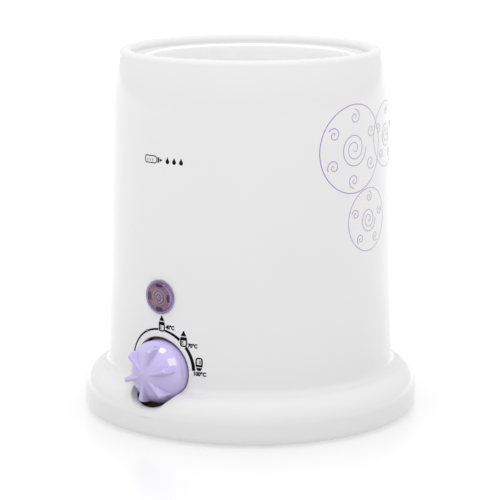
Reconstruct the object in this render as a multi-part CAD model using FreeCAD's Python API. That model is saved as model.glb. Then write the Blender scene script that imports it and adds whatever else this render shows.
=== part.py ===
import FreeCAD, Part
import math
import os

# Bottle warmer: a tapered round housing with a flanged foot, a water well with a heated floor, a
# bimetal thermostat turned by a dome knob, an indicator lamp and the electrical parts inside.
# Millimetres, +Z up. The origin is the centre of the footprint, on the surface the feet stand on.
# The front, with the knob and the lamp, faces -Y.

# ---- Driving dimensions ------------------------------------------------------------------------
FOOT_GAP = 0.8            # shell's lower edge above the surface the feet stand on
WALL = 2.4                # shell thickness
FLANGE_R = 68.0           # widest radius, at the foot flange
FLANGE_SIDE_TOP = 8.7     # top of the flange's upright side
FLANGE_ARC = 9.8          # round shoulder of the flange
ROOT_ARC = 3.1            # hollow between flange and wall
WALL_R_LOW = 57.9
WALL_R_HIGH = 55.9
WALL_TOP = 122.2          # where the wall starts to turn in
RIM_R_OUT = 52.85
RIM_R_IN = 47.5
RIM_CREST_R = 50.35
HEIGHT = 147.0
LEDGE_Z = 143.2           # ledge inside the rim, with the well's mouth in it
LEDGE_R = 43.2
LEDGE_THICK = 2.2

WELL_LIP_R = 42.9
WELL_LIP_Z = 143.7
WELL_WALL = 1.9
WELL_FLOOR_Z = 63.0
WELL_FLOOR_R = 37.4       # inside radius where the wall meets the floor's fillet
WELL_FLANGE_Z = 136.0     # underside of the flange that hangs the well
WELL_FLANGE_R = 51.0
FLOOR_OPENING_R = 29.0

PLATE_R = 28.4
PLATE_RIM_R = 34.4
PLATE_TOP = 62.8
PLATE_THICK = 1.2
PLATE_RIM_Z = 58.2
CLAMP_TOP = 56.8          # clamp ring's upper face, under the seal
SHEET = 1.2               # thickness of the pressed steel parts
RING_PITCH_R = 40.5
RING_SCREW_ANGLES = [345, 45, 165, 225]
BRACKET_ANGLE = 285
EARTH_ANGLE = 105

KNOB_Z = 24.85            # height of the knob's axis, which runs along Y
KNOB_R = 12.5
KNOB_BACK = 53.0          # distances from the housing's axis towards the front
KNOB_EDGE = 60.0
KNOB_APEX = 68.0
OPENING_Z = 25.4          # the knob sits a little low in its opening
OPENING_R = 13.25
OPENING_R_OUT = 13.4      # the opening has a little draft, and a rounded lip at the flange's front
LIP_ROUND = 3.4
LIP_FACE = 67.8
FIN_ANGLES = [12, 72, 132, 192, 252, 312]   # clockwise from the top, seen from the front
SPINDLE_R = 3.0
BUSH_R = 4.0
BOARD_FRONT = 50.0
BOARD_BACK = 48.0
BOARD_SCREWS_X = [-18.5, 18.5]
FRAME_BACK = 46.6
STACK_Z = 43.0            # height of the thermostat's contact stack
STACK_BOTTOM = 40.0
RIVET_HOLE_R = 1.55
CONTACT_Z = 21.0
STRIP_FRONT = 40.2        # front face of the contact blade
BIMETAL_FRONT = 36.8      # front face of the bimetal strip

LAMP_Z = 54.5
LAMP_R = 6.75
LAMP_HOLE_R = 5.6

BASE_R = 64.6
BASE_LOW = 1.2
BASE_TOP = 3.4
PILLAR_R = 59.5           # pitch radius of the base plate's screws
FOOT_PITCH_R = 46.0
CORNERS = [45, 135, 225, 315]
HUNG_SCREW_R = 48.9       # pitch radius of the screws that hold the well

ENTRY_Z = 9.4             # cord entry at the back of the flange
ENTRY_BORE_R = 3.1
ENTRY_PAD_R = 5.9
ENTRY_FACE = 66.2
ENTRY_PAD_BACK = 62.5

HEATER_LOW = 58.0         # underside of the heater element
HEATER_TAB_X = 14.0
FUSE_Y = 15.0
FUSE_Z = 56.0
FUSE_SCREWS_Y = [10.3, 19.7]
POLE_X = [-9.0, 0.0, 9.0]
BLOCK_SCREWS_X = [-4.5, 4.5]
BLOCK_Y = 38.0
SLEEVE_Z = 9.4
LEAD_R = 0.9
THIN_LEAD_R = 0.6
TAB = 0.8                 # thickness of the terminal tabs
BRANCH_Y = -3.0           # where the lamp's leads join the heater's receptacles
LAMP_RUN = [(-4, -36, 51), (-11, -17, 46)]   # straight run of the lamp's left lead, under the resistor

V = FreeCAD.Vector
ORIGIN = V(0, 0, 0)
RIGHT = V(1, 0, 0)
BACK = V(0, 1, 0)
UP = V(0, 0, 1)


# ---- Helpers -----------------------------------------------------------------------------------
def at(point):
    """Point (radius, height) in the XZ plane."""
    return V(point[0], 0, point[1])


def turned(steps):
    """Solid of revolution about Z. A step is a point, or two points: an arc through one to the other."""
    edges = []
    last = steps[0]
    for step in steps[1:] + [steps[0]]:
        if isinstance(step[0], tuple):
            edges.append(Part.Arc(at(last), at(step[0]), at(step[1])).toShape())
            last = step[1]
        else:
            edges.append(Part.makeLine(at(last), at(step)))
            last = step
    return Part.Face(Part.Wire(edges)).revolve(ORIGIN, UP, 360)


def ring(inner, outer, low, high):
    """Plain ring, or a disc when inner is 0."""
    body = Part.makeCylinder(outer, high - low, V(0, 0, low))
    if inner > 0:
        body = body.cut(Part.makeCylinder(inner, high - low, V(0, 0, low)))
    return body


def post(radius, x, y, low, high):
    return Part.makeCylinder(radius, high - low, V(x, y, low))


def block(low, high):
    """Box between two corners."""
    size = V(*high) - V(*low)
    return Part.makeBox(size.x, size.y, size.z, V(*low))


def on_circle(shape, radius, angle):
    """Copy of a shape made on the Z axis, moved out to a radius at an angle."""
    copy = shape.copy()
    copy.translate(V(radius, 0, 0))
    copy.rotate(ORIGIN, UP, angle)
    return copy


def around(shape, radius, angles):
    return Part.makeCompound([on_circle(shape, radius, angle) for angle in angles])


def copies(shape, places):
    """Compound of copies of a shape, one moved to each place."""
    made = []
    for place in places:
        item = shape.copy()
        item.translate(V(*place))
        made.append(item)
    return Part.makeCompound(made)


def to_front(shape, height):
    """Turns a shape made along +Z so that it points to the front, at a height."""
    copy = shape.copy()
    copy.rotate(ORIGIN, RIGHT, 90)
    copy.translate(V(0, 0, height))
    return copy


def to_back(shape, height):
    copy = shape.copy()
    copy.rotate(ORIGIN, RIGHT, -90)
    copy.translate(V(0, 0, height))
    return copy


def dome(base_r, base_z, apex_z):
    """Radius and centre height of the sphere through a circle and an apex on the axis."""
    rise = apex_z - base_z
    radius = (base_r ** 2 + rise ** 2) / (2 * rise)
    return radius, apex_z - radius


def dome_step(base_r, base_z, apex_z):
    """Arc step of an outline, from a circle's edge over the sphere to the apex."""
    radius, centre = dome(base_r, base_z, apex_z)
    middle = base_r / 2
    return ((middle, centre + math.sqrt(radius ** 2 - middle ** 2)), (0, apex_z))


def hexagon(across_flats, low, high):
    corner = across_flats / math.sqrt(3)
    points = [V(corner * math.cos(math.radians(60 * k)), corner * math.sin(math.radians(60 * k)), low)
              for k in range(7)]
    return Part.Face(Part.makePolygon(points)).extrude(V(0, 0, high - low))


def screw(head_r, head_h, shank_r, length):
    """Pan-head screw along +Z: the head is under z = 0 and has a cross recess, the shank is above."""
    head = turned([(0, 0), (head_r, 0), (head_r, -0.45 * head_h), (0.75 * head_r, -head_h), (0, -head_h)])
    tip = 0.6 * shank_r
    shank = turned([(0, 0), (shank_r, 0), (shank_r, length - tip), (shank_r - tip, length), (0, length)])
    arm = 0.62 * head_r
    half = 0.16 * head_r
    recess = block((-arm, -half, -head_h), (arm, half, -0.45 * head_h))
    recess = recess.fuse(block((-half, -arm, -head_h), (half, arm, -0.45 * head_h)))
    return head.fuse(shank).cut(recess)


def lead(points, radius):
    """Round lead along straight runs joined by tangent arcs, each as large as its two runs allow."""
    route = [V(*point) for point in points]
    edges = []
    last = route[0]
    for before, corner, after in zip(route, route[1:], route[2:]):
        inward = (corner - before).normalize()
        outward = (after - corner).normalize()
        half_turn = inward.getAngle(outward) / 2
        reach = 0.45 * min(corner.distanceToPoint(before), corner.distanceToPoint(after))
        bend = reach / math.tan(half_turn)
        start = corner - inward * reach
        end = corner + outward * reach
        middle = corner + (outward - inward).normalize() * (bend / math.cos(half_turn) - bend)
        edges.append(Part.makeLine(last, start))
        edges.append(Part.Arc(start, middle, end).toShape())
        last = end
    edges.append(Part.makeLine(last, route[-1]))
    section = Part.Wire(Part.makeCircle(radius, route[0], route[1] - route[0]))
    return Part.Wire(edges).makePipeShell([section], True, True)


# ---- Housing -----------------------------------------------------------------------------------
def flange_steps(inset):
    """Steps up the flange's side, over its shoulder and up the wall, at a depth under the outer surface."""
    shoulder_r = FLANGE_R - FLANGE_ARC
    hollow_r = WALL_R_LOW + ROOT_ARC
    rise = math.sqrt((FLANGE_ARC + ROOT_ARC) ** 2 - (hollow_r - shoulder_r) ** 2)
    lean = math.atan2(rise, hollow_r - shoulder_r)
    hollow_z = FLANGE_SIDE_TOP + rise

    def on_shoulder(angle):
        radius = FLANGE_ARC - inset
        return (shoulder_r + radius * math.cos(angle), FLANGE_SIDE_TOP + radius * math.sin(angle))

    def in_hollow(angle):
        radius = ROOT_ARC + inset
        return (hollow_r - radius * math.cos(angle), hollow_z - radius * math.sin(angle))

    return [
        (FLANGE_R - inset, FLANGE_SIDE_TOP),
        (on_shoulder(lean / 2), on_shoulder(lean)),
        (in_hollow(lean / 2), in_hollow(0)),
        (WALL_R_HIGH - inset, WALL_TOP),
    ]


def shell_outside():
    """Full solid inside the shell's outer surface."""
    edge = 2.3
    edge_45 = edge * (1 - math.sqrt(0.5))
    foot = [
        (0, FOOT_GAP),
        (FLANGE_R - edge, FOOT_GAP),
        ((FLANGE_R - edge_45, FOOT_GAP + edge_45), (FLANGE_R, FOOT_GAP + edge)),
    ]
    rim = [
        ((55.0, 133.7), (RIM_R_OUT, 144.6)),
        ((52.1, 146.3), (RIM_CREST_R, HEIGHT)),
        (0, HEIGHT),
    ]
    return turned(foot + flange_steps(0) + rim)


def shell_inside():
    """Everything the shell leaves open, from the foot up to the ledge under the rim."""
    seat_r = BASE_R + 0.3
    under_ledge = LEDGE_Z - LEDGE_THICK
    foot = [
        (0, FOOT_GAP),
        (seat_r, FOOT_GAP),
        (seat_r, BASE_TOP),
        (FLANGE_R - WALL, BASE_TOP + 1.0),
    ]
    top = [
        ((52.7, 132.3), (51.3, under_ledge)),
        (0, under_ledge),
    ]
    return turned(foot + flange_steps(WALL) + top)


def rim_recess():
    """Hollow above the ledge, and the well's mouth through it."""
    ledge_round = 0.5
    return turned([
        (0, HEIGHT),
        (RIM_CREST_R, HEIGHT),
        ((48.4, 146.2), (RIM_R_IN, 144.4)),
        (RIM_R_IN, LEDGE_Z + ledge_round),
        (RIM_R_IN - ledge_round, LEDGE_Z),
        (LEDGE_R + 0.4, LEDGE_Z),
        (LEDGE_R, LEDGE_Z - 0.4),
        (LEDGE_R, LEDGE_Z - LEDGE_THICK),
        (0, LEDGE_Z - LEDGE_THICK),
    ])


def knob_opening():
    """Round opening for the knob, with a rounded lip where it leaves the flange."""
    inner_end = KNOB_BACK - 5
    outer_end = FLANGE_R + 7
    lip_45 = LIP_ROUND * (1 - math.sqrt(0.5))
    lip_r = OPENING_R_OUT + LIP_ROUND
    return to_front(turned([
        (0, inner_end),
        (OPENING_R, inner_end),
        (OPENING_R, WALL_R_LOW),
        (OPENING_R_OUT, LIP_FACE - LIP_ROUND),
        ((OPENING_R_OUT + lip_45, LIP_FACE - lip_45), (lip_r, LIP_FACE)),
        (lip_r, outer_end),
        (0, outer_end),
    ]), OPENING_Z)


def shell_posts(outside):
    """Screw posts: four over the well's flange, four over the base plate, two behind the board."""
    hung = post(3.0, 0, 0, WELL_FLANGE_Z + 2.0, LEDGE_Z - LEDGE_THICK + 0.5)
    stand = post(3.4, 0, 0, BASE_TOP, 19.0)
    posts = around(hung, HUNG_SCREW_R, CORNERS).Solids + around(stand, PILLAR_R, CORNERS).Solids
    for x in BOARD_SCREWS_X:
        posts.append(to_front(post(2.8, x, 0, BOARD_FRONT, 55.5), KNOB_Z))
    return [item.common(outside) for item in posts]


def shell_holes():
    """Pilot holes in the posts, the lamp hole, and the seat and hole of the cord bush."""
    holes = around(post(1.25, 0, 0, WELL_FLANGE_Z, LEDGE_Z - 0.2), HUNG_SCREW_R, CORNERS).Solids
    holes += around(post(1.25, 0, 0, BASE_TOP, 14.0), PILLAR_R, CORNERS).Solids
    for x in BOARD_SCREWS_X:
        holes.append(to_front(post(1.2, x, 0, BOARD_FRONT, 53.6), KNOB_Z))
    holes.append(to_front(ring(0, LAMP_HOLE_R, 50, 60), LAMP_Z))
    holes.append(to_back(ring(0, 4.05, 55, 70), ENTRY_Z))
    holes.append(to_back(ring(0, ENTRY_PAD_R, ENTRY_FACE, 72), ENTRY_Z))
    return holes


def outer_shell():
    outside = shell_outside()
    shell = outside.cut(shell_inside()).cut(rim_recess())
    pad = to_back(ring(0, ENTRY_PAD_R, ENTRY_PAD_BACK, ENTRY_FACE), ENTRY_Z)
    shell = shell.fuse(shell_posts(outside) + [pad])
    return shell.cut(knob_opening()).cut(Part.makeCompound(shell_holes())).removeSplitter()


def base_plate():
    """Disc with a stiffening ring, vent slots, foot seats and screw seats."""
    plate = turned([(0, BASE_LOW), (BASE_R - 0.6, BASE_LOW), (BASE_R, BASE_LOW + 0.6), (BASE_R, BASE_TOP),
                    (0, BASE_TOP)])
    plate = plate.fuse(ring(51.0, 52.6, BASE_TOP, BASE_TOP + 2.4))
    slot = block((-8, -1.5, 0), (8, 1.5, 8))
    cuts = [on_circle(slot, 24.0, 30 * k) for k in range(12) if k != 3]
    cuts += around(ring(0, 6.6, 0, 2.2), FOOT_PITCH_R, CORNERS).Solids
    cuts += around(ring(0, 1.9, 0, 5), FOOT_PITCH_R, CORNERS).Solids
    cuts += around(ring(0, 3.1, 0, 2.4), PILLAR_R, CORNERS).Solids
    cuts += around(ring(0, 1.7, 0, 5), PILLAR_R, CORNERS).Solids
    cuts += [post(1.25, x, BLOCK_Y, BASE_LOW + 0.7, 5) for x in BLOCK_SCREWS_X]
    return plate.cut(Part.makeCompound(cuts))


def rubber_feet():
    foot = turned([(0, 0), (5.9, 0), (6.5, 0.6), (6.5, 2.2), (1.8, 2.2), (1.8, BASE_TOP), (2.7, BASE_TOP),
                   (2.3, 4.9), (0, 4.9)])
    return around(foot, FOOT_PITCH_R, CORNERS)


def base_screws():
    one = screw(2.8, 1.1, 1.22, 11.0)
    one.translate(V(0, 0, 2.4))
    return around(one, PILLAR_R, CORNERS)


def cord_bush():
    """Rubber bush with a flange on both sides of the wall and a tapered mouth."""
    bush = turned([(ENTRY_BORE_R, 60.6), (4.4, 60.6), (4.9, 61.4), (4.9, ENTRY_PAD_BACK),
                   (4.0, ENTRY_PAD_BACK), (4.0, ENTRY_FACE), (5.6, ENTRY_FACE), (5.6, 67.0), (4.8, 67.9),
                   (ENTRY_BORE_R, 67.9)])
    return to_back(bush, ENTRY_Z)


# ---- Well and heated floor ---------------------------------------------------------------------
def inner_bowl():
    """Tapered cup with a rolled lip, a hanging flange, an open floor and six screw bosses under it."""
    floor_low = WELL_FLOOR_Z - 2.4
    fillet = 4.0
    wall_foot = WELL_FLOOR_Z + fillet
    side_45 = fillet * (1 - math.sqrt(0.5))
    lip_in = WELL_LIP_R - WELL_WALL
    cup = turned([
        (FLOOR_OPENING_R, floor_low),
        (FLOOR_OPENING_R, WELL_FLOOR_Z - 0.6),
        (FLOOR_OPENING_R + 0.6, WELL_FLOOR_Z),
        (WELL_FLOOR_R - fillet, WELL_FLOOR_Z),
        ((WELL_FLOOR_R - side_45, WELL_FLOOR_Z + side_45), (WELL_FLOOR_R, wall_foot)),
        (lip_in, WELL_LIP_Z - WELL_WALL / 2),
        ((WELL_LIP_R - WELL_WALL / 2, WELL_LIP_Z), (WELL_LIP_R, WELL_LIP_Z - WELL_WALL / 2)),
        (WELL_LIP_R, WELL_FLANGE_Z + 2.0),
        (WELL_FLANGE_R, WELL_FLANGE_Z + 2.0),
        (WELL_FLANGE_R, WELL_FLANGE_Z),
        (WELL_LIP_R - 0.3, WELL_FLANGE_Z),
        (WELL_FLOOR_R + WELL_WALL, WELL_FLOOR_Z),
        (44.5, WELL_FLOOR_Z),
        (44.5, floor_low),
    ])
    angles = RING_SCREW_ANGLES + [BRACKET_ANGLE, EARTH_ANGLE]
    bosses = around(ring(0, 2.9, CLAMP_TOP, floor_low), RING_PITCH_R, angles).Solids
    pilots = around(ring(0, 1.25, CLAMP_TOP, WELL_FLOOR_Z - 0.9), RING_PITCH_R, angles)
    hangers = around(ring(0, 1.6, WELL_FLANGE_Z, WELL_FLANGE_Z + 2.0), HUNG_SCREW_R, CORNERS)
    return cup.fuse(bosses).cut(pilots).cut(hangers)


def rim_seal():
    return turned([(LEDGE_R, 138.0), (45.4, 138.0), (45.4, 140.7), (45.1, LEDGE_Z - LEDGE_THICK),
                   (LEDGE_R, LEDGE_Z - LEDGE_THICK)])


def bowl_screws():
    one = screw(2.6, 1.8, 1.22, 6.4)
    one.translate(V(0, 0, WELL_FLANGE_Z))
    return around(one, HUNG_SCREW_R, CORNERS)


def heating_plate():
    """Pressed plate, dished upwards, with a welded stud under its centre."""
    under = PLATE_TOP - PLATE_THICK
    plate = turned([
        (0, under),
        (PLATE_R - PLATE_THICK, under),
        (PLATE_R - PLATE_THICK, PLATE_RIM_Z),
        (PLATE_RIM_R, PLATE_RIM_Z),
        (PLATE_RIM_R, PLATE_RIM_Z + 1.0),
        (PLATE_R, PLATE_RIM_Z + 1.0),
        (PLATE_R, PLATE_TOP - 1.0),
        ((PLATE_R - 0.29, PLATE_TOP - 0.29), (PLATE_R - 1.0, PLATE_TOP)),
        (0, PLATE_TOP),
    ])
    return plate.fuse(ring(0, 2.0, 51.6, under))


def plate_seal():
    """Ring with a groove that holds the plate's rim."""
    top = WELL_FLOOR_Z - 2.4
    return turned([(29.2, top), (36.0, top), (36.0, CLAMP_TOP), (30.6, CLAMP_TOP), (30.6, PLATE_RIM_Z),
                   (PLATE_RIM_R, PLATE_RIM_Z), (PLATE_RIM_R, PLATE_RIM_Z + 1.0), (29.2, PLATE_RIM_Z + 1.0)])


def plate_clamp_ring():
    clamp = ring(30.0, 44.0, CLAMP_TOP - SHEET, CLAMP_TOP)
    angles = RING_SCREW_ANGLES + [BRACKET_ANGLE, EARTH_ANGLE]
    return clamp.cut(around(ring(0, 1.7, 50, 60), RING_PITCH_R, angles))


def clamp_screw(stack, angle):
    """Screw into a boss of the well, with its head under a stack of sheets under the clamp ring."""
    head_top = CLAMP_TOP - SHEET - stack
    one = screw(2.8, 1.8, 1.22, 61.4 - head_top)
    one.translate(V(0, 0, head_top))
    return on_circle(one, RING_PITCH_R, angle)


def ring_screws():
    return Part.makeCompound([clamp_screw(0, angle) for angle in RING_SCREW_ANGLES])


def earth_tag():
    """Ring terminal under the clamp ring, with its barrel towards the middle."""
    low = CLAMP_TOP - SHEET - TAB
    eye = ring(0, 3.2, low, low + TAB).fuse(block((-9.0, -1.6, low), (0, 1.6, low + TAB)))
    barrel_end = V(-13.5, 0, low - 0.8)
    tag = eye.fuse(Part.makeCylinder(1.5, 5.0, barrel_end, RIGHT)).cut(ring(0, 1.7, low, low + TAB))
    tag = tag.cut(Part.makeCylinder(LEAD_R, 5.0, barrel_end, RIGHT))
    return on_circle(tag, RING_PITCH_R, EARTH_ANGLE)


# ---- Heater and fuse ---------------------------------------------------------------------------
def heater_element():
    """Flat cased element with two terminal tabs pointing down."""
    top = PLATE_TOP - PLATE_THICK
    case = turned([(2.6, HEATER_LOW), (21.2, HEATER_LOW), (22.0, HEATER_LOW + 0.8), (22.0, top), (2.6, top)])
    tab = block((-TAB / 2, -3.15, HEATER_LOW - 8), (TAB / 2, 3.15, HEATER_LOW + 0.2))
    case = case.fuse(copies(tab, [(-HEATER_TAB_X, 0, 0), (HEATER_TAB_X, 0, 0)]).Solids)
    return case.cut(Part.makeCompound([post(0.9, 0, y, 57, 60.5) for y in FUSE_SCREWS_Y]))


def heater_clamp():
    return ring(2.3, 8.5, HEATER_LOW - SHEET, HEATER_LOW)


def heater_nut():
    return hexagon(7.0, 53.6, HEATER_LOW - SHEET).cut(ring(0, 2.02, 50, 60))


def thermal_fuse():
    """Can lying along X, with an epoxy end and two lead stubs."""
    can = Part.makeCylinder(2.0, 11.0, V(-5.5, FUSE_Y, FUSE_Z), RIGHT)
    neck = Part.makeCone(1.9, 0.9, 1.4, V(5.5, FUSE_Y, FUSE_Z), RIGHT)
    stubs = Part.makeCylinder(0.5, 19.0, V(-9.5, FUSE_Y, FUSE_Z), RIGHT)
    return can.fuse([neck, stubs])


def arch(half_width):
    """Rounded bar over the fuse, as wide as the clip, up to the element."""
    low = FUSE_Y - half_width
    high = FUSE_Y + half_width
    bottom = Part.makeCylinder(half_width, 5.0, V(-2.5, FUSE_Y, FUSE_Z), RIGHT)
    bottom = bottom.common(block((-3, low - 1, FUSE_Z - 4), (3, high + 1, FUSE_Z)))
    return bottom.fuse(block((-2.5, low, FUSE_Z), (2.5, high, HEATER_LOW)))


def fuse_clip():
    """Saddle strap over the fuse with two feet on the element."""
    strap = 0.6
    inner = 2.05
    foot = block((-2.5, FUSE_Y - 6.4, HEATER_LOW - strap), (2.5, FUSE_Y + 6.0, HEATER_LOW))
    clip = arch(inner + strap).fuse(foot).cut(arch(inner))
    return clip.cut(Part.makeCompound([post(1.1, 0, y, 57, 60) for y in FUSE_SCREWS_Y]))


def fuse_clip_screws():
    return copies(screw(1.6, 1.0, 0.88, 2.8), [(0, y, HEATER_LOW - 0.6) for y in FUSE_SCREWS_Y])


# ---- Thermostat --------------------------------------------------------------------------------
def mounting_board():
    """Phenolic board behind the wall, held by two screws, with the thermostat's bush through it."""
    board = block((-22, -BOARD_FRONT, 6.2), (22, -BOARD_BACK, 47.6))
    corners = [edge for edge in board.Edges if abs(edge.tangentAt(edge.FirstParameter).y) > 0.99]
    board = board.makeFillet(3.0, corners)
    holes = [to_front(ring(0, 4.3, 45, 52), KNOB_Z)]
    holes += [to_front(post(1.5, x, 0, 45, 52), KNOB_Z) for x in BOARD_SCREWS_X]
    return board.cut(Part.makeCompound(holes))


def board_screws():
    pair = copies(screw(2.6, 1.8, 1.16, 5.2), [(x, 0, BOARD_BACK) for x in BOARD_SCREWS_X])
    return to_front(pair, KNOB_Z)


def thermostat_frame():
    """Aluminium bracket: upright plate, riser at one side and a lug screwed under the clamp ring."""
    lug_top = CLAMP_TOP - SHEET
    plate = block((-10, -BOARD_BACK, 12), (15, -FRAME_BACK, 47))
    riser = block((6, -BOARD_BACK, 46), (15, -FRAME_BACK, lug_top))
    lug = block((6, -FRAME_BACK, lug_top - SHEET), (15, -35.2, lug_top))
    holes = [to_front(ring(0, BUSH_R, 40, 52), KNOB_Z), to_front(ring(0, 1.6, 40, 52), STACK_Z)]
    holes.append(on_circle(ring(0, 1.7, 50, 60), RING_PITCH_R, BRACKET_ANGLE))
    return plate.fuse([riser, lug]).cut(Part.makeCompound(holes))


def thermostat_bush():
    """Threaded brass bush with a flange behind the frame."""
    bush = turned([(SPINDLE_R + 0.05, 45.0), (6.2, 45.0), (6.2, FRAME_BACK), (BUSH_R - 0.02, FRAME_BACK),
                   (BUSH_R - 0.02, 54.6), (BUSH_R - 0.5, 55.0), (SPINDLE_R + 0.05, 55.0)])
    return to_front(bush, KNOB_Z)


def spindle_nut():
    return to_front(hexagon(12.0, BOARD_FRONT, 52.4).cut(ring(0, BUSH_R, 50, 53)), KNOB_Z)


def spindle():
    """Shaft with a collar and a blind bore for the push pin at the inner end, and a flat for the knob."""
    shaft = turned([(0, 49.0), (1.6, 49.0), (1.6, 43.8), (3.9, 43.8), (3.9, 44.8), (SPINDLE_R, 44.8),
                    (SPINDLE_R, 64.6), (SPINDLE_R - 0.4, 65.0), (0, 65.0)])
    return to_front(shaft.cut(block((-5, 2.0, 56.8), (5, 5, 66))), KNOB_Z)


def push_pin():
    pin = turned([(0, 40.4), (1.1, 40.4), (1.5, 40.8), (1.5, 48.3), (1.2, 48.6), (0, 48.6)])
    return to_front(pin, KNOB_Z)


def insulator_blocks():
    spans = [(STRIP_FRONT, FRAME_BACK), (BIMETAL_FRONT, STRIP_FRONT - 0.4), (33.4, BIMETAL_FRONT - TAB)]
    blocks = [block((-5, -front, STACK_BOTTOM), (5, -back, STACK_BOTTOM + 6)) for back, front in spans]
    hole = to_front(ring(0, RIVET_HOLE_R, 30, 50), STACK_Z)
    return Part.makeCompound([item.cut(hole) for item in blocks])


def stack_rivet():
    rivet = turned([(0, 31.9), (1.8, 31.9), (2.6, 32.6), (2.6, 33.4), (1.5, 33.4), (1.5, BOARD_BACK),
                    (0, BOARD_BACK)])
    return to_front(rivet, STACK_Z)


def blade_terminal():
    """Tab clamped in the stack, from which the contact blade springs."""
    tab = block((-17, -STRIP_FRONT, 40.4), (5, -STRIP_FRONT + 0.4, 45.6))
    return tab.cut(to_front(ring(0, RIVET_HOLE_R, 30, 50), STACK_Z))


def contact_blade():
    """Spring blade that the push pin bends, with its contact."""
    blade = block((-3, -STRIP_FRONT, CONTACT_Z - 2.5), (3, -STRIP_FRONT + 0.4, STACK_BOTTOM - 0.3))
    contact = to_front(turned([(0, 38.9), (1.2, 38.9), (1.6, 39.3), (1.6, 39.8), (0, 39.8)]), CONTACT_Z)
    return blade.fuse(contact)


def bimetal_strip():
    """Bimetal strip with its contact, and its terminal tab out of the stack's other side."""
    back = BIMETAL_FRONT - TAB
    strip = block((-3.5, -BIMETAL_FRONT, 17.0), (3.5, -back, 45.6))
    tab = block((3.5, -BIMETAL_FRONT, 40.4), (17, -back, 45.6))
    contact = to_front(turned([(0, 36.8), (1.6, 36.8), (1.6, 37.8), (1.2, 38.2), (0, 38.2)]), CONTACT_Z)
    return strip.fuse([tab, contact]).cut(to_front(ring(0, RIVET_HOLE_R, 30, 50), STACK_Z))


# ---- Knob --------------------------------------------------------------------------------------
def knob_fin(radius, centre):
    """One grip fin along +Y: thin near the apex, thicker and blunt at the outer end."""
    root = 2.6
    end = 11.1
    start_z = centre + math.sqrt(radius ** 2 - root ** 2)
    side = turned([(root, KNOB_EDGE - 2), (root, start_z), (10.0, KNOB_APEX - 0.2),
                   ((10.8, KNOB_APEX - 0.7), (end, KNOB_APEX - 2.2)), (11.7, KNOB_EDGE - 2)])
    thin = 0.35
    thick = 1.0
    outline = [V(thin, root - 1, KNOB_EDGE - 2), V(thick, end - 0.6, KNOB_EDGE - 2),
               V(thick * 0.6, 13, KNOB_EDGE - 2), V(-thick * 0.6, 13, KNOB_EDGE - 2),
               V(-thick, end - 0.6, KNOB_EDGE - 2), V(-thin, root - 1, KNOB_EDGE - 2)]
    wedge = Part.Face(Part.makePolygon(outline + outline[:1])).extrude(V(0, 0, 12))
    return side.common(wedge)


def control_knob():
    """Hollow dome with six fins and a hub that fits the spindle's flat."""
    radius, centre = dome(KNOB_R, KNOB_EDGE, KNOB_APEX)
    body = turned([(0, KNOB_BACK), (KNOB_R - 0.4, KNOB_BACK), (KNOB_R, KNOB_BACK + 0.4), (KNOB_R, KNOB_EDGE),
                   dome_step(KNOB_R, KNOB_EDGE, KNOB_APEX)])
    fin = knob_fin(radius, centre)
    fins = []
    for angle in FIN_ANGLES:
        item = fin.copy()
        item.rotate(ORIGIN, UP, -angle)
        fins.append(item)
    inner = 10.3
    inner_r = radius - 2.0
    inner_edge = centre + math.sqrt(inner_r ** 2 - inner ** 2)
    cavity = turned([(0, KNOB_BACK), (inner, KNOB_BACK), (inner, inner_edge),
                     dome_step(inner, inner_edge, centre + inner_r)])
    bore = ring(0, SPINDLE_R + 0.03, 50, 65.2).cut(block((-5, 2.03, 50), (5, 5, 66)))
    hub = ring(0, 4.6, 57.0, KNOB_APEX - 1.6)
    return to_front(body.fuse(fins).cut(cavity).fuse(hub).cut(bore), KNOB_Z)


def knob_spring_clip():
    """Split spring ring round the knob's hub."""
    clip = ring(4.6, 5.4, 58.0, 61.0).cut(block((-1.2, -6, 57), (1.2, 0, 62)))
    return to_front(clip, KNOB_Z)


# ---- Indicator lamp ----------------------------------------------------------------------------
def indicator_lens(shell):
    """Low dome with a chamfered rim, a barrel through the wall and four snap legs behind it."""
    lens = turned([(4.6, 53.2), (5.5, 53.2), (5.5, 56.4), (LAMP_R, 56.4), (LAMP_R, 57.9), (6.2, 58.5),
                   dome_step(6.2, 58.5, 59.3), (0, 58.2), (4.6, 57.6)])
    leg = block((-1.2, 4.6, 51.2), (1.2, 5.5, 53.4)).fuse(block((-1.2, 5.0, 52.8), (1.2, 6.2, 54.1)))
    leg = leg.cut(ring(0, 4.6, 50, 56))
    legs = []
    for k in range(4):
        item = leg.copy()
        item.rotate(ORIGIN, UP, 90 * k)
        legs.append(item)
    return to_front(lens.fuse(legs), LAMP_Z).cut(shell)


def lamp_holder():
    """Cup that fills the lens barrel and holds the bulb."""
    cup = turned([(0, 49.0), (4.2, 49.0), (4.2, 50.2), (4.5, 50.6), (4.5, 54.5), (3.9, 54.5), (2.25, 52.0),
                  (2.25, 50.4), (0, 50.4)])
    return to_front(cup.cut(Part.makeCompound([post(0.4, x, 0, 48, 51) for x in (-1.2, 1.2)])), LAMP_Z)


def neon_bulb():
    glass = turned([(0, 50.4), (2.1, 50.4), (2.1, 55.1), dome_step(2.1, 55.1, 57.2)])
    pins = [post(0.35, x, 0, 49.0, 50.6) for x in (-1.2, 1.2)]
    return to_front(glass.fuse(pins), LAMP_Z)


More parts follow.
